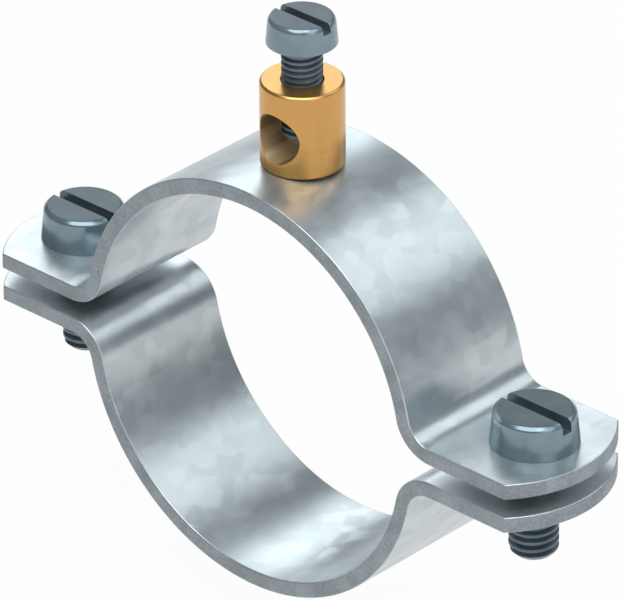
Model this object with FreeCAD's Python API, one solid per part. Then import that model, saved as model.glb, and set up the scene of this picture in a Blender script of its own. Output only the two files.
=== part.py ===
import FreeCAD, Part
import math
import os

# Pipe earthing clip: a split strip clamp with a brass terminal post on its crown.
# Origin: the middle of the gap between the halves, on the axis of the pipe.
# X runs towards the right ear, Y along the pipe, Z up through the terminal. Millimetres.

# The pipe and the strip
pipe_radius = 24.15          # 48.3 mm steel pipe
strip_width = 20.0
strip_thickness = 2.0
ear_gap = 2.4                # between the ears as assembled
bore_lift = 0.4              # each half's arc centre stands this far off the middle plane
bend_radius = 3.25           # in the corner between the arc and the ear
ear_beyond_screw = 4.1       # from the screw's axis to where the strip's sides meet the ear's end
ear_end_radius = 14.6
strip_edge_break = 0.18

# Clamp screws, M6, through the upper ears into the tapped lower ears
head_to_bend = 2.1           # from the head's edge to where the ear starts to bend
clamp_thread_diameter = 5.9
clamp_screw_length = 14.8    # under the head
clamp_head_diameter = 10.6
clamp_head_rim_diameter = 9.8
clamp_head_face_diameter = 8.8
clamp_head_height = 4.3
clamp_head_bevel = 0.42      # height of the bevel round the head's top
clamp_slot_width = 1.5
clamp_slot_depth = 1.5
clamp_tip_chamfer = 0.7
clamp_hole_clearance = 0.35  # all round, in the upper ears

# Terminal post, turned brass
post_diameter = 10.0
post_chamfer = 0.25
post_foot_chamfer = 0.25
post_hole_chamfer = 0.1      # round the tapped hole in the post's top
conductor_hole_diameter = 6.2
conductor_mouth_break = 0.12
floor_under_conductor = 1.6  # brass between the crown and the hole
roof_over_conductor = 3.0    # brass that the terminal screw is tapped through
rivet_diameter = 6.0         # spigot through the strip
rivet_head_diameter = 8.0    # peened into a countersink inside the strip
rivet_head_depth = 1.0
rivet_clearance = 0.02

# Terminal screw, M5
terminal_thread_diameter = 4.9
terminal_screw_length = 12.3
terminal_head_diameter = 8.5
terminal_head_rim_diameter = 7.95
terminal_head_face_diameter = 7.25
terminal_head_height = 3.3
terminal_head_bevel = 0.43
terminal_slot_width = 1.25
terminal_slot_depth = 1.1
terminal_tip_chamfer = 0.6
tip_in_conductor_hole = 4.4  # how far the screw's end stands in the conductor hole as assembled

# Fits of the threads, which are plain cylinders here
thread_clearance = 0.05      # all round, thread crest to tapped hole
tapped_hole_chamfer = 0.3

# Values that follow from the ones above
arc_outer_radius = pipe_radius + strip_thickness
ear_inner_z = ear_gap / 2
ear_outer_z = ear_inner_z + strip_thickness
crown_z = bore_lift + arc_outer_radius
half_width = strip_width / 2
bend_z = ear_outer_z + bend_radius
bend_reach = arc_outer_radius + bend_radius
bend_x = math.sqrt(bend_reach ** 2 - (bend_z - bore_lift) ** 2)
clamp_screw_x = bend_x + head_to_bend + clamp_head_diameter / 2
ear_corner_x = clamp_screw_x + ear_beyond_screw
ear_arc_centre_x = ear_corner_x - math.sqrt(ear_end_radius ** 2 - half_width ** 2)
ear_tip_x = ear_arc_centre_x + ear_end_radius
conductor_z = crown_z + floor_under_conductor + conductor_hole_diameter / 2
conductor_roof_z = conductor_z + conductor_hole_diameter / 2
post_top_z = conductor_roof_z + roof_over_conductor
terminal_head_z = conductor_roof_z - tip_in_conductor_hole + terminal_screw_length
tapped_radius = clamp_thread_diameter / 2 + thread_clearance
post_tapped_radius = terminal_thread_diameter / 2 + thread_clearance

UP = FreeCAD.Vector(0, 0, 1)
ALONG_PIPE = FreeCAD.Vector(0, 1, 0)


def point(x, z, y=0.0):
    return FreeCAD.Vector(x, y, z)


def strip_profile():
    """Closed outline of the upper half in the XZ plane, at y = 0."""
    # Direction from the arc's centre to the bend's centre, where the two curves meet
    rise = bend_z - bore_lift
    slope_x = bend_x / bend_reach
    slope_z = rise / bend_reach
    bend_middle = (math.atan2(rise, bend_x) + math.pi / 2) / 2

    def on_arc(radius, side):
        return point(side * radius * slope_x, bore_lift + radius * slope_z)

    def on_bend(radius, side):
        return point(side * (bend_x - radius * slope_x), bend_z - radius * slope_z)

    def middle_of_bend(radius, side):
        return point(side * (bend_x - radius * math.cos(bend_middle)), bend_z - radius * math.sin(bend_middle))

    def edges(arc_radius, corner_radius, ear_z):
        left_end = point(-ear_tip_x, ear_z)
        left_foot = point(-bend_x, ear_z)
        crown = point(0, bore_lift + arc_radius)
        right_foot = point(bend_x, ear_z)
        right_end = point(ear_tip_x, ear_z)
        return [
            Part.LineSegment(left_end, left_foot).toShape(),
            Part.Arc(left_foot, middle_of_bend(corner_radius, -1), on_bend(corner_radius, -1)).toShape(),
            Part.Arc(on_arc(arc_radius, -1), crown, on_arc(arc_radius, 1)).toShape(),
            Part.Arc(on_bend(corner_radius, 1), middle_of_bend(corner_radius, 1), right_foot).toShape(),
            Part.LineSegment(right_foot, right_end).toShape(),
        ]

    outer = edges(arc_outer_radius, bend_radius, ear_outer_z)
    inner = edges(pipe_radius, bend_radius + strip_thickness, ear_inner_z)
    ends = [
        Part.LineSegment(point(side * ear_tip_x, ear_outer_z), point(side * ear_tip_x, ear_inner_z)).toShape()
        for side in (-1, 1)
    ]
    return Part.Wire(Part.__sortEdges__(outer + inner + ends))


def strip_plan():
    """The strip seen from above: straight sides and curved ends, as a tall prism."""
    corners = [point(side_x * ear_corner_x, 0, side_y * half_width)
               for side_x, side_y in ((-1, -1), (1, -1), (1, 1), (-1, 1))]
    right_tip = point(ear_tip_x, 0)
    left_tip = point(-ear_tip_x, 0)
    outline = Part.Wire([
        Part.LineSegment(corners[0], corners[1]).toShape(),
        Part.Arc(corners[1], right_tip, corners[2]).toShape(),
        Part.LineSegment(corners[2], corners[3]).toShape(),
        Part.Arc(corners[3], left_tip, corners[0]).toShape(),
    ])
    tall = 2 * crown_z
    plan = Part.Face(outline).extrude(UP * tall)
    return plan.translated(UP * (-tall / 2))


def on_a_side_face(edge):
    """True for the strip's long and end edges, not for the short upright ones at its corners."""
    middle = edge.valueAt((edge.FirstParameter + edge.LastParameter) / 2)
    along_side = abs(abs(middle.y) - half_width) < 1e-6
    box = edge.BoundBox
    upright = box.XLength < 1e-6 and box.YLength < 1e-6
    beyond_corner = abs(middle.x) > ear_corner_x + 1e-6
    return (along_side or beyond_corner) and not upright


def bent_strip():
    """One half of the clamp before any hole: strip bent to the pipe, with its edges broken."""
    band = Part.Face(strip_profile()).extrude(ALONG_PIPE * strip_width)
    band.translate(ALONG_PIPE * -half_width)
    band = band.common(strip_plan()).removeSplitter()
    rims = [edge for edge in band.Edges if on_a_side_face(edge)]
    return band.makeChamfer(strip_edge_break, rims)


def ear_hole(x, radius):
    depth = strip_thickness + 2
    return Part.makeCylinder(radius, depth, point(x, ear_inner_z - 1), UP)


def rivet_solid(clearance):
    """Spigot and peened head, from the crown's outside to the bore, widened by a clearance."""
    stem_radius = rivet_diameter / 2 + clearance
    head_radius = rivet_head_diameter / 2 + clearance
    bore_crown_z = crown_z - strip_thickness
    stem = Part.makeCylinder(stem_radius, strip_thickness + 0.5, point(0, bore_crown_z - 0.5), UP)
    flare = head_radius - stem_radius
    slope = flare / rivet_head_depth
    extra = 0.5
    head = Part.makeCone(head_radius + slope * extra, stem_radius, rivet_head_depth + extra,
                         point(0, bore_crown_z - extra), UP)
    bore = Part.makeCylinder(pipe_radius, strip_width, point(0, bore_lift, -half_width), ALONG_PIPE)
    return stem.fuse(head).cut(bore).removeSplitter()


def upper_half_band():
    band = bent_strip()
    hole_radius = clamp_thread_diameter / 2 + clamp_hole_clearance
    for side in (-1, 1):
        band = band.cut(ear_hole(side * clamp_screw_x, hole_radius))
    return band.cut(rivet_solid(rivet_clearance))


def lower_half_band():
    """The other half, turned over, with tapped holes whose mouths are chamfered."""
    band = bent_strip()
    for side in (-1, 1):
        x = side * clamp_screw_x
        band = band.cut(ear_hole(x, tapped_radius))
        wide = tapped_radius + tapped_hole_chamfer
        lower_mouth = Part.makeCone(wide, tapped_radius, tapped_hole_chamfer, point(x, ear_inner_z), UP)
        upper_mouth = Part.makeCone(tapped_radius, wide, tapped_hole_chamfer,
                                    point(x, ear_outer_z - tapped_hole_chamfer), UP)
        band = band.cut(lower_mouth).cut(upper_mouth)
    band.rotate(FreeCAD.Vector(0, 0, 0), FreeCAD.Vector(0, 1, 0), 180)
    return band


def on_a_conductor_mouth(edge):
    """True where the wall of the conductor hole comes out through the post's side."""
    middle = edge.valueAt((edge.FirstParameter + edge.LastParameter) / 2)
    from_hole_axis = math.hypot(middle.x, middle.z - conductor_z)
    on_hole = abs(from_hole_axis - conductor_hole_diameter / 2) < 1e-3
    return on_hole and abs(math.hypot(middle.x, middle.y) - post_diameter / 2) < 1e-3


def terminal_post():
    radius = post_diameter / 2
    outline = [
        point(0, crown_z),
        point(radius - post_foot_chamfer, crown_z),
        point(radius, crown_z + post_foot_chamfer),
        point(radius, post_top_z - post_chamfer),
        point(radius - post_chamfer, post_top_z),
        point(0, post_top_z),
        point(0, crown_z),
    ]
    body = Part.Face(Part.makePolygon(outline)).revolve(FreeCAD.Vector(0, 0, 0), UP, 360)
    body = body.fuse(rivet_solid(0.0)).removeSplitter()

    hole_radius = conductor_hole_diameter / 2
    conductor_hole = Part.makeCylinder(hole_radius, post_diameter + 2,
                                       point(0, conductor_z, -radius - 1), ALONG_PIPE)
    body = body.cut(conductor_hole)
    mouths = [edge for edge in body.Edges if on_a_conductor_mouth(edge)]
    body = body.makeChamfer(conductor_mouth_break, mouths)

    tapped_hole = Part.makeCylinder(post_tapped_radius, post_top_z - conductor_z + 1, point(0, conductor_z), UP)
    mouth = Part.makeCone(post_tapped_radius, post_tapped_radius + post_hole_chamfer, post_hole_chamfer,
                          point(0, post_top_z - post_hole_chamfer), UP)
    return body.cut(tapped_hole).cut(mouth).removeSplitter()


def slotted_screw(thread_diameter, length, head_diameter, rim_diameter, face_diameter, head_height,
                  bevel, slot_width, slot_depth, tip_chamfer):
    """Cheese-head screw standing on its head's underside at z = 0, with its slot along X."""
    thread_radius = thread_diameter / 2
    outline = [
        point(0, -length),
        point(thread_radius - tip_chamfer, -length),
        point(thread_radius, -length + tip_chamfer),
        point(thread_radius, 0),
        point(head_diameter / 2, 0),
        point(rim_diameter / 2, head_height - bevel),
        point(face_diameter / 2, head_height),
        point(0, head_height),
        point(0, -length),
    ]
    body = Part.Face(Part.makePolygon(outline)).revolve(FreeCAD.Vector(0, 0, 0), UP, 360)
    slot_length = head_diameter + 2
    slot = Part.makeBox(slot_length, slot_width, slot_depth + 1,
                        FreeCAD.Vector(-slot_length / 2, -slot_width / 2, head_height - slot_depth))
    return body.cut(slot)


def clamp_screw(side):
    screw = slotted_screw(clamp_thread_diameter, clamp_screw_length, clamp_head_diameter,
                          clamp_head_rim_diameter, clamp_head_face_diameter, clamp_head_height,
                          clamp_head_bevel, clamp_slot_width, clamp_slot_depth, clamp_tip_chamfer)
    return screw.translated(point(side * clamp_screw_x, ear_outer_z))


def terminal_screw():
    screw = slotted_screw(terminal_thread_diameter, terminal_screw_length, terminal_head_diameter,
                          terminal_head_rim_diameter, terminal_head_face_diameter, terminal_head_height,
                          terminal_head_bevel, terminal_slot_width, terminal_slot_depth, terminal_tip_chamfer)
    return screw.translated(point(0, terminal_head_z))


pieces = {
    "upper_half_band": upper_half_band(),
    "lower_half_band": lower_half_band(),
    "terminal_post": terminal_post(),
    "terminal_screw": terminal_screw(),
    "clamp_screw_right": clamp_screw(1),
    "clamp_screw_left": clamp_screw(-1),
}

os.makedirs("parts", exist_ok=True)
for name, shape in pieces.items():
    solid = shape.Solids[0]
    solid.exportStep("parts/" + name + ".step")
    box = solid.BoundBox
    print(name, "solids", len(shape.Solids), "valid", solid.isValid(), "volume", round(solid.Volume, 2),
          "x", round(box.XMin, 2), round(box.XMax, 2), "y", round(box.YMin, 2), round(box.YMax, 2),
          "z", round(box.ZMin, 2), round(box.ZMax, 2))
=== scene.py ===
import math

import bmesh
import bpy
from mathutils import Matrix, Vector


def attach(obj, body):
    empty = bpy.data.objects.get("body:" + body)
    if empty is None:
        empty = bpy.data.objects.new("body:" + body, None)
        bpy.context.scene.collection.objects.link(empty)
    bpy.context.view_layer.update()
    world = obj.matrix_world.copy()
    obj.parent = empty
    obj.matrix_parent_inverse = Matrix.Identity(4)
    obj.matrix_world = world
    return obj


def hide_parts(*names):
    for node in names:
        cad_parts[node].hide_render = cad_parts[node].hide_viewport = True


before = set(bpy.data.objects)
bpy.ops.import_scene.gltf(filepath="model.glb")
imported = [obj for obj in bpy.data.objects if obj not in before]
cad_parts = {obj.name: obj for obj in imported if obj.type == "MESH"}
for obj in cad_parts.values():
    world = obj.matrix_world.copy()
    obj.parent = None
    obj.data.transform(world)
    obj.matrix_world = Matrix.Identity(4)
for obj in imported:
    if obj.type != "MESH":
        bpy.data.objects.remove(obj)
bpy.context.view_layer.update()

mm = 0.001
scene = bpy.context.scene
scene.view_settings.view_transform = "Standard"
print("frame loaded")


# The camera: a long lens that looks down on the clip from its front right

cameraView = {                  # degrees and millimetres
    "azimuth": 43.056,
    "elevation": 29.491,
    "roll": -0.407,
    "distance": 858.117,
    "target": (1.060, 0.0, 8.337),
    "lens": 423.5,
}


def aimCamera(view):
    az, el, roll = (math.radians(view[key]) for key in ("azimuth", "elevation", "roll"))
    back = Vector((math.sin(az) * math.cos(el), -math.cos(az) * math.cos(el), math.sin(el)))
    right = Vector((math.cos(az), math.sin(az), 0))
    up = back.cross(right)
    sideways = math.cos(roll) * right + math.sin(roll) * up
    upwards = -math.sin(roll) * right + math.cos(roll) * up
    turn = Matrix((sideways, upwards, back)).transposed().to_4x4()
    place = (Vector(view["target"]) + back * view["distance"]) * mm
    data = bpy.data.cameras.new("photoCamera")
    data.lens = view["lens"]
    data.sensor_width = 36
    data.clip_start = 0.05
    data.clip_end = 20
    camera = bpy.data.objects.new("photoCamera", data)
    camera.matrix_world = Matrix.Translation(place) @ turn
    scene.collection.objects.link(camera)
    scene.camera = camera


aimCamera(cameraView)
print("camera set")


# Node helpers

def put(tree, kind, inputs=None, **settings):
    node = tree.nodes.new(kind)
    for key, value in settings.items():
        setattr(node, key, value)
    for key, value in (inputs or {}).items():
        if isinstance(value, bpy.types.NodeSocket):
            tree.links.new(value, node.inputs[key])
        else:
            node.inputs[key].default_value = value
    return node


def emptyMaterial(name):
    material = bpy.data.materials.new(name)
    material.use_nodes = True
    material.node_tree.nodes.clear()
    return material


def ramp(tree, source, stops):
    node = put(tree, "ShaderNodeValToRGB", {"Fac": source})
    band = node.color_ramp
    while len(band.elements) < len(stops):
        band.elements.new(0.5)
    for element, (place, colour) in zip(band.elements, stops):
        element.position = place
        element.color = (*colour, 1)
    return node.outputs["Color"]


def spread(tree, source, low, high, fromLow=0.0, fromHigh=1.0):
    node = put(tree, "ShaderNodeMapRange", {"Value": source, "From Min": fromLow, "From Max": fromHigh,
                                            "To Min": low, "To Max": high})
    return node.outputs["Result"]


# Galvanised strip: cool grey zinc that has set in soft, cloudy patches

zinc = {
    "light": (0.645, 0.690, 0.710),
    "dark": (0.515, 0.560, 0.585),
    "metallic": 0.78,
    "roughness": (0.27, 0.37),
    "cloud": 140.0,                         # noise scales, per metre
    "crystals": (560.0, 380.0, 560.0),
    "crystalBlur": 0.35,
    "ragged": (420.0, 0.0012),              # scale and depth of the crystals' uneven outlines
    "cloudTilt": 0.07,
    "crystalTilt": 0.036,
    "grain": 1500.0,
    "grainStrength": 0.04,
    "grainDepth": 0.00004,
}


def lean(tree, noise, amount):
    centred = put(tree, "ShaderNodeVectorMath", {0: noise, 1: (0.5, 0.5, 0.5)}, operation="SUBTRACT")
    return put(tree, "ShaderNodeVectorMath", {0: centred.outputs[0], "Scale": amount},
               operation="SCALE").outputs[0]


def zincMaterial():
    material = emptyMaterial("galvanisedZinc")
    tree = material.node_tree
    place = put(tree, "ShaderNodeTexCoord").outputs["Object"]
    cloud = put(tree, "ShaderNodeTexNoise", {"Vector": place, "Scale": zinc["cloud"], "Detail": 3.0,
                                             "Roughness": 0.55})
    raggedScale, raggedDepth = zinc["ragged"]
    ragged = put(tree, "ShaderNodeTexNoise", {"Vector": place, "Scale": raggedScale, "Detail": 0.5})
    push = lean(tree, ragged.outputs["Color"], raggedDepth)
    pushed = put(tree, "ShaderNodeVectorMath", {0: place, 1: push}, operation="ADD")
    stretched = put(tree, "ShaderNodeMapping", {"Vector": pushed.outputs[0], "Scale": zinc["crystals"]})
    patches = put(tree, "ShaderNodeTexVoronoi", {"Vector": stretched.outputs[0], "Scale": 1.0,
                                                 "Smoothness": zinc["crystalBlur"]}, feature="SMOOTH_F1")
    grain = put(tree, "ShaderNodeTexNoise", {"Vector": place, "Scale": zinc["grain"], "Detail": 1.0})
    one = put(tree, "ShaderNodeSeparateColor", {"Color": patches.outputs["Color"]})
    halfPatch = put(tree, "ShaderNodeMath", {0: one.outputs["Red"], 1: 0.5}, operation="MULTIPLY")
    mixed = put(tree, "ShaderNodeMath", {0: halfPatch.outputs[0], 1: cloud.outputs["Fac"]},
                operation="ADD")
    shade = spread(tree, mixed.outputs[0], 0.0, 1.0, 0.45, 1.05)
    colour = ramp(tree, shade, [(0.0, zinc["dark"]), (1.0, zinc["light"])])
    rough = spread(tree, cloud.outputs["Fac"], *zinc["roughness"], 0.3, 0.7)

    # Each patch of zinc has set at its own slight tilt, over a slower waviness of the sheet
    face = put(tree, "ShaderNodeNewGeometry").outputs["Normal"]
    tilts = ((cloud.outputs["Color"], zinc["cloudTilt"]), (patches.outputs["Color"], zinc["crystalTilt"]))
    for source, amount in tilts:
        face = put(tree, "ShaderNodeVectorMath", {0: face, 1: lean(tree, source, amount)},
                   operation="ADD").outputs[0]
    normal = put(tree, "ShaderNodeVectorMath", {0: face}, operation="NORMALIZE")
    bump = put(tree, "ShaderNodeBump", {"Height": grain.outputs["Fac"], "Normal": normal.outputs[0],
                                        "Strength": zinc["grainStrength"],
                                        "Distance": zinc["grainDepth"]})
    shader = put(tree, "ShaderNodeBsdfPrincipled", {"Base Color": colour, "Metallic": zinc["metallic"],
                                                    "Roughness": rough, "Normal": bump.outputs[0]})
    put(tree, "ShaderNodeOutputMaterial", {"Surface": shader.outputs[0]})
    return material


# Sheared edges of the strip: the same zinc, duller, with a fine speckle

shearedEdge = {
    "light": (0.37, 0.41, 0.435),
    "dark": (0.27, 0.30, 0.32),
    "metallic": 0.8,
    "roughness": 0.52,
    "speckle": 2600.0,
    "cloud": 300.0,
    "speckleStrength": 0.25,
    "speckleDepth": 0.00006,
}


def shearedMaterial():
    material = emptyMaterial("shearedZincEdge")
    tree = material.node_tree
    place = put(tree, "ShaderNodeTexCoord").outputs["Object"]
    speckle = put(tree, "ShaderNodeTexNoise", {"Vector": place, "Scale": shearedEdge["speckle"],
                                               "Detail": 3.0})
    cloud = put(tree, "ShaderNodeTexNoise", {"Vector": place, "Scale": shearedEdge["cloud"], "Detail": 2.0})
    mixed = put(tree, "ShaderNodeMath", {0: speckle.outputs["Fac"], 1: cloud.outputs["Fac"]},
                operation="ADD")
    shade = put(tree, "ShaderNodeMath", {0: mixed.outputs[0], 1: 0.5}, operation="MULTIPLY")
    colour = ramp(tree, shade.outputs[0], [(0.40, shearedEdge["dark"]), (0.60, shearedEdge["light"])])
    bump = put(tree, "ShaderNodeBump", {"Height": speckle.outputs["Fac"],
                                        "Strength": shearedEdge["speckleStrength"],
                                        "Distance": shearedEdge["speckleDepth"]})
    shader = put(tree, "ShaderNodeBsdfPrincipled", {"Base Color": colour,
                                                    "Metallic": shearedEdge["metallic"],
                                                    "Roughness": shearedEdge["roughness"],
                                                    "Normal": bump.outputs[0]})
    put(tree, "ShaderNodeOutputMaterial", {"Surface": shader.outputs[0]})
    return material


# Turned brass, and the rougher wall that the drill has left in the cross hole

brass = {
    "light": (0.66, 0.36, 0.115),
    "dark": (0.625, 0.338, 0.106),
    "metallic": 0.88,
    "roughness": 0.30,
    "marks": (60.0, 60.0, 5200.0),          # noise scales per metre, fine along the turned axis
    "depth": 0.05,
}
drilledWall = {
    "light": (0.86, 0.62, 0.36),
    "dark": (0.30, 0.19, 0.09),
    "metallic": 0.5,
    "roughness": 0.42,
    "marks": (520.0, 30.0, 520.0),          # drawn out along the hole
    "depth": 0.5,
}


def brassMaterial(name, look):
    material = emptyMaterial(name)
    tree = material.node_tree
    place = put(tree, "ShaderNodeTexCoord").outputs["Object"]
    stretched = put(tree, "ShaderNodeMapping", {"Vector": place, "Scale": look["marks"]})
    marks = put(tree, "ShaderNodeTexNoise", {"Vector": stretched.outputs[0], "Scale": 1.0,
                                             "Detail": 2.0})
    colour = ramp(tree, marks.outputs["Fac"], [(0.35, look["dark"]), (0.65, look["light"])])
    bump = put(tree, "ShaderNodeBump", {"Height": marks.outputs["Fac"], "Strength": look["depth"],
                                        "Distance": 0.00003})
    shader = put(tree, "ShaderNodeBsdfPrincipled", {"Base Color": colour, "Metallic": look["metallic"],
                                                    "Roughness": look["roughness"],
                                                    "Normal": bump.outputs[0]})
    put(tree, "ShaderNodeOutputMaterial", {"Surface": shader.outputs[0]})
    return material


# Blue-grey plating of the screws. Their flat tops are rougher, carry the rings of a lathe tool and are
# darkened by a painted shade, and the threads and the slots get a darker copy of the plating, painted shade
# in their recesses.

plating = {
    "light": (0.235, 0.305, 0.345),
    "dark": (0.190, 0.250, 0.285),
    "metallic": 0.55,
    # painted shade: the share of the colour kept on the flat tops, darkened because of how light falls on
    # them
    "paintedTopShade": 0.40,
    "roughness": 0.20,
    "topRoughness": 0.38,
    "ringPitch": 0.16,                      # millimetres
    "waveLength": 0.31,                     # metres from ring to ring at a scale of 1
    "cloud": 420.0,
}
# A darker copy of the plating: painted shade for the threads and the slot, which lie in shade
paintedShadePlating = {
    "light": (0.17, 0.22, 0.25),
    "dark": (0.11, 0.145, 0.17),
    "metallic": 0.6,
    "roughness": 0.34,
}


def platingMaterial(name, centreX):
    material = emptyMaterial(name)
    tree = material.node_tree
    coordinates = put(tree, "ShaderNodeTexCoord")
    place = coordinates.outputs["Object"]
    centred = put(tree, "ShaderNodeMapping", {"Vector": place, "Location": (-centreX * mm, 0.0, 0.0)})
    rings = put(tree, "ShaderNodeTexWave", {"Vector": centred.outputs[0],
                                            "Scale": plating["waveLength"] / (plating["ringPitch"] * mm),
                                            "Distortion": 1.5, "Detail": 2.0, "Detail Scale": 0.6},
                wave_type="RINGS", rings_direction="Z", wave_profile="SIN")
    cloud = put(tree, "ShaderNodeTexNoise", {"Vector": place, "Scale": plating["cloud"], "Detail": 3.0})
    colour = ramp(tree, cloud.outputs["Fac"], [(0.3, plating["dark"]), (0.7, plating["light"])])
    # Painted shade: faces that point up get a darker colour and are also made rougher
    upright = put(tree, "ShaderNodeSeparateXYZ", {"Vector": coordinates.outputs["Normal"]})
    top = spread(tree, upright.outputs["Z"], 0.0, 1.0, 0.93, 0.99)
    shade = spread(tree, top, 1.0, plating["paintedTopShade"])
    colourWithPaintedTopShade = put(tree, "ShaderNodeVectorMath", {0: colour, "Scale": shade}, operation="SCALE")
    rough = spread(tree, top, plating["roughness"], plating["topRoughness"])
    bump = put(tree, "ShaderNodeBump", {"Height": rings.outputs["Fac"], "Strength": 0.05,
                                        "Distance": 0.00002})
    shader = put(tree, "ShaderNodeBsdfPrincipled", {"Base Color": colourWithPaintedTopShade.outputs[0],
                                                    "Metallic": plating["metallic"],
                                                    "Roughness": rough, "Normal": bump.outputs[0]})
    put(tree, "ShaderNodeOutputMaterial", {"Surface": shader.outputs[0]})
    return material


# Painted shade: the darker plating for the threads and the slot
def paintedShadePlatingMaterial():
    material = emptyMaterial("threadAndSlotPaintedShade")
    tree = material.node_tree
    place = put(tree, "ShaderNodeTexCoord").outputs["Object"]
    cloud = put(tree, "ShaderNodeTexNoise", {"Vector": place, "Scale": plating["cloud"], "Detail": 3.0})
    colour = ramp(tree, cloud.outputs["Fac"], [(0.3, paintedShadePlating["dark"]), (0.7, paintedShadePlating["light"])])
    shader = put(tree, "ShaderNodeBsdfPrincipled", {"Base Color": colour,
                                                    "Metallic": paintedShadePlating["metallic"],
                                                    "Roughness": paintedShadePlating["roughness"]})
    put(tree, "ShaderNodeOutputMaterial", {"Surface": shader.outputs[0]})
    return material


galvanisedZinc = zincMaterial()
shearedZincEdge = shearedMaterial()
turnedBrass = brassMaterial("turnedBrass", brass)
drilledBrass = brassMaterial("drilledBrass", drilledWall)
threadAndSlotPaintedShade = paintedShadePlatingMaterial()
print("materials made")


# Mesh helpers. Every piece is modelled in millimetres about its own axis and finished in metres.

shading = {"creaseAngle": 32, "weight": 80}


def finishPiece(name, bm, place, body, node, materials):
    bmesh.ops.recalc_face_normals(bm, faces=bm.faces)
    bmesh.ops.translate(bm, vec=Vector(place), verts=bm.verts)
    bmesh.ops.scale(bm, vec=(mm, mm, mm), verts=bm.verts)
    for face in bm.faces:
        face.smooth = True
    mesh = bpy.data.meshes.new(name)
    bm.to_mesh(mesh)
    bm.free()
    mesh.set_sharp_from_angle(angle=math.radians(shading["creaseAngle"]))
    for material in materials:
        mesh.materials.append(material)
    piece = bpy.data.objects.new(name, mesh)
    scene.collection.objects.link(piece)
    level = piece.modifiers.new("evenShading", "WEIGHTED_NORMAL")
    level.keep_sharp = True
    level.weight = shading["weight"]
    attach(piece, body)
    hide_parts(node)
    return piece


def once(items):
    # Each item once, in the order met
    return list(dict.fromkeys(items))


def drawLine(bm, points):
    verts = [bm.verts.new(p) for p in points]
    edges = [bm.edges.new(pair) for pair in zip(verts, verts[1:])]
    return verts + edges


def spinSolid(points, steps=96):
    bm = bmesh.new()
    outline = drawLine(bm, [(radius, 0, z) for radius, z in points])
    bmesh.ops.spin(bm, geom=outline, cent=(0, 0, 0), axis=(0, 0, 1), angle=2 * math.pi, steps=steps,
                   use_merge=True)
    bmesh.ops.remove_doubles(bm, verts=bm.verts, dist=1e-4)
    bmesh.ops.recalc_face_normals(bm, faces=bm.faces)
    return bm


def sliceAt(bm, place, normal, clear=False):
    everything = bm.verts[:] + bm.edges[:] + bm.faces[:]
    cut = bmesh.ops.bisect_plane(bm, geom=everything, dist=1e-5, plane_co=place, plane_no=normal,
                                 clear_outer=clear)
    return [item for item in cut["geom_cut"] if isinstance(item, bmesh.types.BMEdge)]


# Slotted screws

clampScrew = {
    "crest": 2.95, "root": 2.46, "pitch": 1.0, "length": 14.8, "tipChamfer": 0.7,
    "headRadius": 5.3, "rimRadius": 4.9, "faceRadius": 4.4, "headHeight": 4.3, "bevel": 0.42,
    "slotWidth": 1.5, "slotDepth": 1.5, "seat": 3.2, "offset": 36.1708,
}
terminalScrew = {
    "crest": 2.45, "root": 2.05, "pitch": 0.8, "length": 12.3, "tipChamfer": 0.6,
    "headRadius": 4.25, "rimRadius": 3.975, "faceRadius": 3.625, "headHeight": 3.3, "bevel": 0.43,
    "slotWidth": 1.25, "slotDepth": 1.1, "seat": 42.25, "offset": 0.0,
}


def screwHead(size):
    height = size["headHeight"]
    shoulder = height - size["bevel"]
    bm = spinSolid([(0, 0), (size["headRadius"], 0), (size["rimRadius"], shoulder),
                    (size["faceRadius"], height), (0, height)])

    # Soften the bottom rim and the two rims of the top bevel
    def rim(radius, z):
        return [e for e in bm.edges
                if all(abs(v.co.z - z) < 1e-3 and abs(v.co.xy.length - radius) < 1e-3 for v in e.verts)]

    for radius, z, width in ((size["headRadius"], 0, 0.10), (size["rimRadius"], shoulder, 0.16),
                             (size["faceRadius"], height, 0.12)):
        bmesh.ops.bevel(bm, geom=rim(radius, z), offset=width, offset_type="OFFSET", segments=3,
                        profile=0.5, affect="EDGES", material=-1)

    # Saw the slot across the head
    half = size["slotWidth"] / 2
    floor = height - size["slotDepth"]
    sliceAt(bm, (0, half, 0), (0, 1, 0))
    sliceAt(bm, (0, -half, 0), (0, -1, 0))
    sliceAt(bm, (0, 0, floor), (0, 0, 1))
    sawn = [f for f in bm.faces
            if abs(f.calc_center_median().y) < half and f.calc_center_median().z > floor + 1e-4]
    bmesh.ops.delete(bm, geom=sawn, context="FACES")
    bare = [e for e in bm.edges if e.is_boundary]
    bottomLines = []
    for side in (-1, 1):
        corners = [v for v in once(v for e in bare for v in e.verts)
                   if abs(v.co.y - side * half) < 1e-3 and abs(v.co.z - floor) < 1e-3]
        bottomLines.append(bm.edges.new(corners))
        wall = [e for e in bare if all(abs(v.co.y - side * half) < 1e-3 for v in e.verts)]
        bmesh.ops.contextual_create(bm, geom=wall + [bottomLines[-1]])
    ends = [e for e in bare if all(abs(v.co.z - floor) < 1e-3 for v in e.verts)]
    bmesh.ops.contextual_create(bm, geom=ends + bottomLines)
    flats = [f for f in bm.faces if abs(abs(f.normal.z) - 1) < 1e-4]
    bmesh.ops.dissolve_limit(bm, angle_limit=0.001, verts=once(v for f in flats for v in f.verts),
                             edges=once(e for f in flats for e in f.edges))
    lips = [e for e in bm.edges
            if all(abs(abs(v.co.y) - half) < 1e-3 and v.co.z > height - 1e-3 for v in e.verts)]
    bmesh.ops.bevel(bm, geom=lips, offset=0.05, offset_type="OFFSET", segments=2, profile=0.5,
                    affect="EDGES", material=-1)
    # The slot's floor and walls take the darker plating, a painted shade in the recess
    for face in bm.faces:
        middle = face.calc_center_median()
        if abs(middle.y) < half + 1e-3 and floor - 1e-3 < middle.z < height - 0.02:
            face.material_index = 1
    return bm


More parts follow.
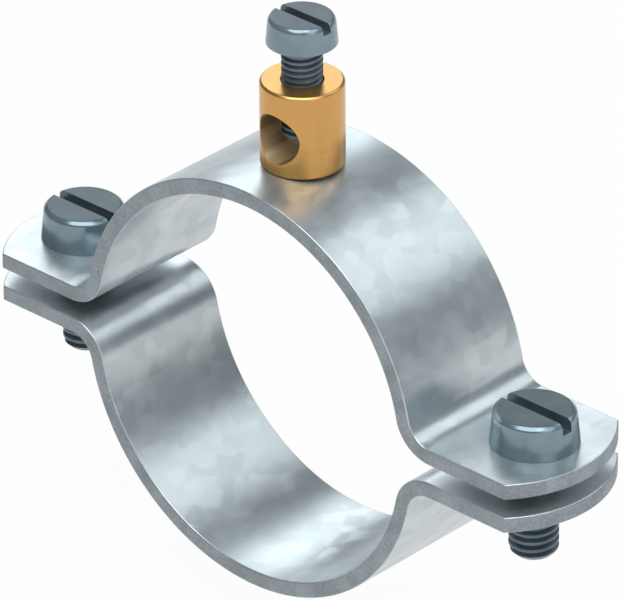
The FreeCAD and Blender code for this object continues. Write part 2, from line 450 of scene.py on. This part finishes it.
def screwShank(size):
    bm = bmesh.new()
    pitch, crest, root, length = (size[key] for key in ("pitch", "crest", "root", "length"))
    turns = math.ceil(length / pitch) + 2
    tooth = drawLine(bm, [(root, 0, 0), (root, 0, pitch * 0.07), (crest, 0, pitch * 0.34),
                          (crest, 0, pitch * 0.66), (root, 0, pitch * 0.93), (root, 0, pitch)])
    steps = 64
    bmesh.ops.spin(bm, geom=tooth, cent=(0, 0, 0), axis=(0, 0, 1), dvec=(0, 0, pitch / steps),
                   angle=2 * math.pi * turns, steps=steps * turns, use_duplicate=False)
    bmesh.ops.remove_doubles(bm, verts=bm.verts, dist=1e-4)
    bmesh.ops.translate(bm, vec=(0, 0, -(turns - 0.4) * pitch), verts=bm.verts)
    for z, normal in ((0.3, (0, 0, 1)), (-length, (0, 0, -1))):
        opened = sliceAt(bm, (0, 0, z), normal, clear=True)
        bmesh.ops.contextual_create(bm, geom=opened)

    # The thread runs out under the head and is turned down to a chamfer at the tip
    for vert in bm.verts:
        reach = vert.co.xy.length
        atTip = crest - size["tipChamfer"] + (vert.co.z + length)
        atHead = root + max(0.0, -vert.co.z - 0.15) * 1.1
        limit = min(atTip, atHead if vert.co.z > -1.2 else crest)
        if reach > limit:
            vert.co.xy *= max(limit, 0.1) / reach
    # The threads take the darker plating, a painted shade
    for face in bm.faces:
        face.material_index = 1
    return bm


def makeScrew(name, size, side, node, material):
    bm = screwHead(size)
    shank = screwShank(size)
    holder = bpy.data.meshes.new(name + "Shank")
    shank.to_mesh(holder)
    shank.free()
    bm.from_mesh(holder)
    bpy.data.meshes.remove(holder)
    return finishPiece(name, bm, (side * size["offset"], 0, size["seat"]), node, node,
                       [material, threadAndSlotPaintedShade])


makeScrew("clampScrewRight", clampScrew, 1, "clamp_screw_right",
          platingMaterial("platingRight", clampScrew["offset"]))
makeScrew("clampScrewLeft", clampScrew, -1, "clamp_screw_left",
          platingMaterial("platingLeft", -clampScrew["offset"]))
makeScrew("terminalScrew", terminalScrew, 1, "terminal_screw",
          platingMaterial("platingTerminal", 0.0))
print("screws made")


# The strip: cut flat, drilled, its edges broken, then bent. It bends about the outside of the ring.

strip = {
    "pipeRadius": 24.15, "width": 20.0, "thickness": 2.0, "earGap": 2.4, "boreLift": 0.4,
    "bendRadius": 3.25, "earBeyondScrew": 4.1, "earEndRadius": 14.6,
    "edgeBreak": 0.18, "clearanceHole": 3.3, "clearanceMouth": 0.05, "tappedHole": 3.0, "tappedMouth": 0.3,
    "arcStep": 2.0, "bendStep": 5.0,        # degrees from cut to cut
}
rivet = {"stem": 3.0, "flare": 4.0, "flareDepth": 1.0, "flareSpread": 1.09, "gap": 0.02}

outerRadius = strip["pipeRadius"] + strip["thickness"]
earTop = strip["earGap"] / 2 + strip["thickness"]
bendZ = earTop + strip["bendRadius"]
bendX = math.sqrt((outerRadius + strip["bendRadius"]) ** 2 - (bendZ - strip["boreLift"]) ** 2)
bendTurn = math.atan2(bendX, bendZ - strip["boreLift"])
arcLength = outerRadius * bendTurn
bendLength = strip["bendRadius"] * bendTurn
earStart = arcLength + bendLength


def bendPoint(flat):
    run, depth = abs(flat.x), -flat.z
    side = math.copysign(1, flat.x)
    if run <= arcLength:
        turn = run / outerRadius
        x = (outerRadius - depth) * math.sin(turn)
        z = strip["boreLift"] + (outerRadius - depth) * math.cos(turn)
    elif run <= earStart:
        turn = bendTurn - (run - arcLength) / strip["bendRadius"]
        x = bendX - (strip["bendRadius"] + depth) * math.sin(turn)
        z = bendZ - (strip["bendRadius"] + depth) * math.cos(turn)
    else:
        x = bendX + run - earStart
        z = earTop - depth
    return Vector((side * x, flat.y, z))


def flareReach(x):
    # The countersink meets the bore lower down, and so further out, to the sides
    sideways = x * rivet["flareSpread"]
    return rivet["flare"] + strip["pipeRadius"] - math.sqrt(strip["pipeRadius"] ** 2 - sideways ** 2)


def ring(bm, radius, x, z):
    made = bmesh.ops.create_circle(bm, cap_ends=False, radius=radius, segments=64,
                                   matrix=Matrix.Translation((x, 0, z)))
    return made["verts"], once(e for v in made["verts"] for e in v.link_edges)


def crownRing(bm, radius, depth, flared=False):
    verts, edges = ring(bm, radius, 0, -depth)
    for vert in verts:
        if flared:
            vert.co.xy *= (flareReach(vert.co.x) + rivet["gap"]) / radius
        vert.co.x = outerRadius * math.asin(vert.co.x / (outerRadius - depth))
    return edges


def flatBlank():
    bm = bmesh.new()
    cornerRun = earStart + clampScrew["offset"] + strip["earBeyondScrew"] - bendX
    half = strip["width"] / 2
    endTurn = math.asin(half / strip["earEndRadius"])
    centre = cornerRun - strip["earEndRadius"] * math.cos(endTurn)
    corner = bm.verts.new((cornerRun, -half, 0))
    bmesh.ops.spin(bm, geom=[corner], cent=(centre, 0, 0), axis=(0, 0, 1), angle=2 * endTurn, steps=24)
    bmesh.ops.mirror(bm, geom=bm.verts[:] + bm.edges[:], matrix=Matrix.Identity(4), merge_dist=-1,
                     axis="X")
    corners = [v for v in bm.verts if abs(abs(v.co.y) - half) < 1e-3]
    for y in (-half, half):
        bm.edges.new([v for v in corners if abs(v.co.y - y) < 1e-3])
    bmesh.ops.contextual_create(bm, geom=bm.edges[:])
    block = bmesh.ops.extrude_face_region(bm, geom=bm.faces[:], use_keep_orig=True)
    lower = [v for v in block["geom"] if isinstance(v, bmesh.types.BMVert)]
    bmesh.ops.translate(bm, vec=(0, 0, -strip["thickness"]), verts=lower)
    rims = [e for e in bm.edges if abs(e.verts[0].co.z - e.verts[1].co.z) < 1e-4]
    bmesh.ops.bevel(bm, geom=rims, offset=strip["edgeBreak"], offset_type="OFFSET", segments=3,
                    profile=0.5, affect="EDGES", material=-1)
    return bm


def drillBlank(bm, isUpper):
    # The two broad faces are opened, and filled again round the rims of the holes
    thick = strip["thickness"]
    wide = [f for f in bm.faces if f.calc_area() > 500]
    bmesh.ops.delete(bm, geom=wide, context="FACES_ONLY")
    sides = {z: [e for e in bm.edges if e.is_boundary and all(abs(v.co.z - z) < 1e-4 for v in e.verts)]
             for z in (0.0, -thick)}
    walls = []
    hole = strip["clearanceHole"] if isUpper else strip["tappedHole"]
    mouth = strip["clearanceMouth"] if isUpper else strip["tappedMouth"]
    steps = ((hole + mouth, 0.0), (hole, -mouth), (hole, mouth - thick), (hole + mouth, -thick))
    for end in (-1, 1):
        x = end * (earStart + clampScrew["offset"] - bendX)
        walls.append([ring(bm, radius, x, z)[1] for radius, z in steps])
    if isUpper:
        stem = rivet["stem"] + rivet["gap"]
        walls.append([crownRing(bm, stem, 0.0), crownRing(bm, stem, thick - rivet["flareDepth"]),
                      crownRing(bm, rivet["flare"], thick, flared=True)])
    for z, rim in sides.items():
        loops = [wall[0] if z == 0.0 else wall[-1] for wall in walls]
        bmesh.ops.triangle_fill(bm, use_beauty=True, edges=rim + [e for loop in loops for e in loop],
                                normal=(0, 0, 1))
    for wall in walls:
        for upper, lower in zip(wall, wall[1:]):
            bmesh.ops.bridge_loops(bm, edges=upper + lower)


def bendBlank(bm):
    arcCuts, bendCuts = (round(math.degrees(bendTurn) / strip[key]) for key in ("arcStep", "bendStep"))
    runs = [arcLength * k / arcCuts for k in range(arcCuts + 1)]
    runs += [arcLength + bendLength * (k + 1) / bendCuts for k in range(bendCuts)]
    for run in runs:
        for side in (-1, 1):
            sliceAt(bm, (side * run, 0, 0), (1, 0, 0))
    bmesh.ops.recalc_face_normals(bm, faces=bm.faces)
    for face in bm.faces:
        face.material_index = 1 if abs(face.normal.z) < 0.5 else 0
    for vert in bm.verts:
        vert.co = bendPoint(vert.co)


def makeBand(name, isUpper, body, node):
    bm = flatBlank()
    drillBlank(bm, isUpper)
    bendBlank(bm)
    if not isUpper:
        bmesh.ops.rotate(bm, cent=(0, 0, 0), matrix=Matrix.Rotation(math.pi, 3, "Y"), verts=bm.verts)
    print(name, "open edges", sum(not e.is_manifold for e in bm.edges), "volume",
          round(bm.calc_volume(), 1))
    return finishPiece(name, bm, (0, 0, 0), body, node,
                       [galvanisedZinc, shearedZincEdge])


makeBand("upperBand", True, "upper_half", "upper_half_band")
makeBand("lowerBand", False, "lower_half", "lower_half_band")
print("bands bent")


# Terminal post, turned from brass rod, drilled across and tapped from above

post = {
    "radius": 5.0, "foot": 26.55, "top": 37.35, "topBreak": 0.25, "footBreak": 0.25,
    "crossHole": 3.1, "crossHeight": 31.25, "mouthBreak": 0.12,
    "tappedHole": 2.5, "tappedMouth": 0.1, "rimSoftness": 0.07, "overrun": 0.1, "drillHalf": 7.0,
}


def asObject(name, bm):
    mesh = bpy.data.meshes.new(name)
    bm.to_mesh(mesh)
    bm.free()
    made = bpy.data.objects.new(name, mesh)
    scene.collection.objects.link(made)
    return made


def drilled(name, bm, drill):
    blank = asObject(name, bm)
    tool = asObject(name + "Drill", drill)
    cut = blank.modifiers.new("drill", "BOOLEAN")
    cut.operation = "DIFFERENCE"
    cut.solver = "EXACT"
    cut.object = tool
    graph = bpy.context.evaluated_depsgraph_get()
    mesh = bpy.data.meshes.new_from_object(blank.evaluated_get(graph))
    result = bmesh.new()
    result.from_mesh(mesh)
    for spent in (mesh, blank.data, tool.data):
        bpy.data.meshes.remove(spent)
    return result


def makePost():
    foot, top, radius = post["foot"], post["top"], post["radius"]
    boreTop = foot - strip["thickness"]
    body = spinSolid([(0, boreTop), (1.4, boreTop), (2.7, boreTop), (rivet["flare"], boreTop),
                      (rivet["stem"], boreTop + rivet["flareDepth"]), (rivet["stem"], foot),
                      (radius - post["footBreak"], foot), (radius, foot + post["footBreak"]),
                      (radius, top - post["topBreak"]), (radius - post["topBreak"], top), (0, top)])
    for vert in body.verts:
        if abs(vert.co.z - boreTop) < 1e-4:
            if abs(vert.co.xy.length - rivet["flare"]) < 1e-3:
                vert.co.xy *= flareReach(vert.co.x) / rivet["flare"]
            vert.co.z = strip["boreLift"] + math.sqrt(strip["pipeRadius"] ** 2 - vert.co.x ** 2)
    hole, mouth, above = post["tappedHole"], post["tappedMouth"], top + post["overrun"]
    middle, crossHole, drillHalf = post["crossHeight"], post["crossHole"], post["drillHalf"]
    tapDrill = spinSolid([(0, middle), (hole, middle), (hole, top - mouth),
                          (hole + mouth + post["overrun"], above), (0, above)], 72)
    crossDrill = spinSolid([(0, -drillHalf), (crossHole, -drillHalf), (crossHole, drillHalf),
                            (0, drillHalf)], 80)
    bmesh.ops.rotate(crossDrill, cent=(0, 0, 0), matrix=Matrix.Rotation(math.pi / 2, 3, "X"),
                     verts=crossDrill.verts)
    bmesh.ops.translate(crossDrill, vec=(0, 0, middle), verts=crossDrill.verts)
    bm = drilled("postBored", drilled("postDrilled", body, crossDrill), tapDrill)
    outside = [v for v in bm.verts if v.co.xy.length > radius - 0.1]
    bmesh.ops.remove_doubles(bm, verts=outside, dist=0.03)

    def fromHole(place):
        return math.hypot(place.x, place.z - middle) - crossHole

    # Part the hole's wall beside the bore, break the edges round its mouths and soften the turned rims
    for side in (-1, 1):
        wall = [f for f in bm.faces if all(abs(fromHole(v.co)) < 0.02 for v in f.verts)]
        around = once(v for f in wall for v in f.verts) + once(e for f in wall for e in f.edges)
        bmesh.ops.bisect_plane(bm, geom=wall + around, dist=1e-5, plane_co=(0, side * (hole + 0.3), 0),
                               plane_no=(0, side, 0))

    mouths = [e for e in bm.edges
              if all(abs(v.co.xy.length - radius) < 0.01 and abs(fromHole(v.co)) < 0.02 for v in e.verts)]
    bmesh.ops.bevel(bm, geom=mouths, offset=post["mouthBreak"], offset_type="OFFSET", segments=3,
                    profile=0.5, affect="EDGES", material=-1)
    for reach, z in ((radius, top - post["topBreak"]), (radius - post["topBreak"], top)):
        rims = [e for e in bm.edges
                if all(abs(v.co.z - z) < 1e-3 and abs(v.co.xy.length - reach) < 0.02 for v in e.verts)]
        bmesh.ops.bevel(bm, geom=rims, offset=post["rimSoftness"], offset_type="OFFSET", segments=2,
                        profile=0.5, affect="EDGES", material=-1)
    print("post open edges", sum(not e.is_manifold for e in bm.edges), "volume",
          round(bm.calc_volume(), 1), "mouth edges", len(mouths))
    for face in bm.faces:
        face.material_index = 1 if fromHole(face.calc_center_median()) < 0.01 else 0
    return finishPiece("terminalPost", bm, (0, 0, 0), "upper_half", "terminal_post",
                       [turnedBrass, drilledBrass])


makePost()
print("post turned")


# Studio: a pale floor, soft boxes, and a world that is pale up to the horizon and dim above it.
# Directions are in degrees: the azimuth from the front (-Y) towards +X, the elevation from the horizon.

studio = {
    "floorSize": 3.0,                       # metres from the middle to each side
    "floorHeight": -33.75,                  # millimetres, clear of the lower half when it is opened fully
    "floorPaint": (0.82, 0.83, 0.84),
    "floorWhite": 0.96,
    "boxDistance": 0.6,                     # metres
    "worldPale": (1.0, 1.0, 1.0),
    "worldDim": (0.16, 0.18, 0.195),        # above the horizon, between the boxes
    "horizonFade": (-2.0, 3.0),             # elevations from which to which the pale world goes dim
    "worldDiffuse": (0.13, 0.14, 0.145),
}

# azimuth, elevation, half angle, radiance, colour
softBoxes = {
    "boxOverhead": (23, 67, 24, 3.5, (0.93, 0.99, 1.0)),
    "boxRight": (83, 52, 17, 2.0, (0.92, 0.99, 1.0)),
    "boxRightLow": (75, 20, 17, 1.3, (0.94, 0.99, 1.0)),
    "boxBackRight": (155, 44, 19, 1.35, (0.94, 0.99, 1.0)),
    "boxBackLeft": (-130, 31, 15, 2.2, (0.93, 0.99, 1.0)),
}


def towards(azimuth, elevation):
    az, el = math.radians(azimuth), math.radians(elevation)
    return Vector((math.cos(el) * math.sin(az), -math.cos(el) * math.cos(az), math.sin(el)))


# Camera, mirror and glass rays meet the pale surroundings. Diffuse rays don't, so that no light is added.

def seenAsPicture(tree):
    rays = put(tree, "ShaderNodeLightPath").outputs
    mirrored = put(tree, "ShaderNodeMath", {0: rays["Is Glossy Ray"], 1: rays["Is Transmission Ray"]},
                   operation="MAXIMUM")
    return put(tree, "ShaderNodeMath", {0: rays["Is Camera Ray"], 1: mirrored.outputs[0]},
               operation="MAXIMUM").outputs[0]


def makeFloor():
    bm = bmesh.new()
    bmesh.ops.create_grid(bm, x_segments=1, y_segments=1, size=studio["floorSize"])
    bmesh.ops.translate(bm, vec=(0, 0, studio["floorHeight"] * mm), verts=bm.verts)
    mesh = bpy.data.meshes.new("paleFloor")
    bm.to_mesh(mesh)
    bm.free()
    floor = bpy.data.objects.new("paleFloor", mesh)
    scene.collection.objects.link(floor)
    material = emptyMaterial("paleFloorPaint")
    tree = material.node_tree
    paint = put(tree, "ShaderNodeBsdfDiffuse", {"Color": (*studio["floorPaint"], 1)})
    white = put(tree, "ShaderNodeEmission", {"Color": (1, 1, 1, 1), "Strength": 1.0})
    pale = put(tree, "ShaderNodeMixShader", {"Fac": studio["floorWhite"], 1: paint.outputs[0],
                                             2: white.outputs[0]})
    shown = put(tree, "ShaderNodeMixShader", {"Fac": seenAsPicture(tree), 1: paint.outputs[0],
                                              2: pale.outputs[0]})
    put(tree, "ShaderNodeOutputMaterial", {"Surface": shown.outputs[0]})
    mesh.materials.append(material)


def makeWorld():
    world = bpy.data.worlds.new("softStudio")
    scene.world = world
    world.use_nodes = True
    world.cycles.sampling_method = "NONE"
    tree = world.node_tree
    tree.nodes.clear()
    direction = put(tree, "ShaderNodeTexCoord").outputs["Generated"]
    height = put(tree, "ShaderNodeSeparateXYZ", {"Vector": direction}).outputs["Z"]
    paleEnd, dimStart = (math.sin(math.radians(angle)) for angle in studio["horizonFade"])
    surround = ramp(tree, spread(tree, height, 0.0, 1.0, paleEnd, dimStart),
                    [(0.0, studio["worldPale"]), (1.0, studio["worldDim"])])
    picture = put(tree, "ShaderNodeBackground", {"Color": surround, "Strength": 1.0})
    diffuse = put(tree, "ShaderNodeBackground", {"Color": (*studio["worldDiffuse"], 1),
                                                 "Strength": 1.0})
    shown = put(tree, "ShaderNodeMixShader", {"Fac": seenAsPicture(tree), 1: diffuse.outputs[0],
                                              2: picture.outputs[0]})
    put(tree, "ShaderNodeOutputWorld", {"Surface": shown.outputs[0]})


def makeBox(name, azimuth, elevation, halfAngle, radiance, colour):
    place = towards(azimuth, elevation)
    across = 2 * studio["boxDistance"] * math.tan(math.radians(halfAngle))
    data = bpy.data.lights.new(name, "AREA")
    data.shape = "DISK"
    data.size = across
    data.color = colour
    data.energy = radiance * math.pi * math.pi * across ** 2 / 4
    box = bpy.data.objects.new(name, data)
    turn = place.to_track_quat("Z", "Y").to_matrix().to_4x4()
    box.matrix_world = Matrix.Translation(place * studio["boxDistance"]) @ turn
    box.visible_camera = False
    scene.collection.objects.link(box)


makeFloor()
makeWorld()
for boxName, settings in softBoxes.items():
    makeBox(boxName, *settings)
print("studio lit")


bpy.context.view_layer.update()
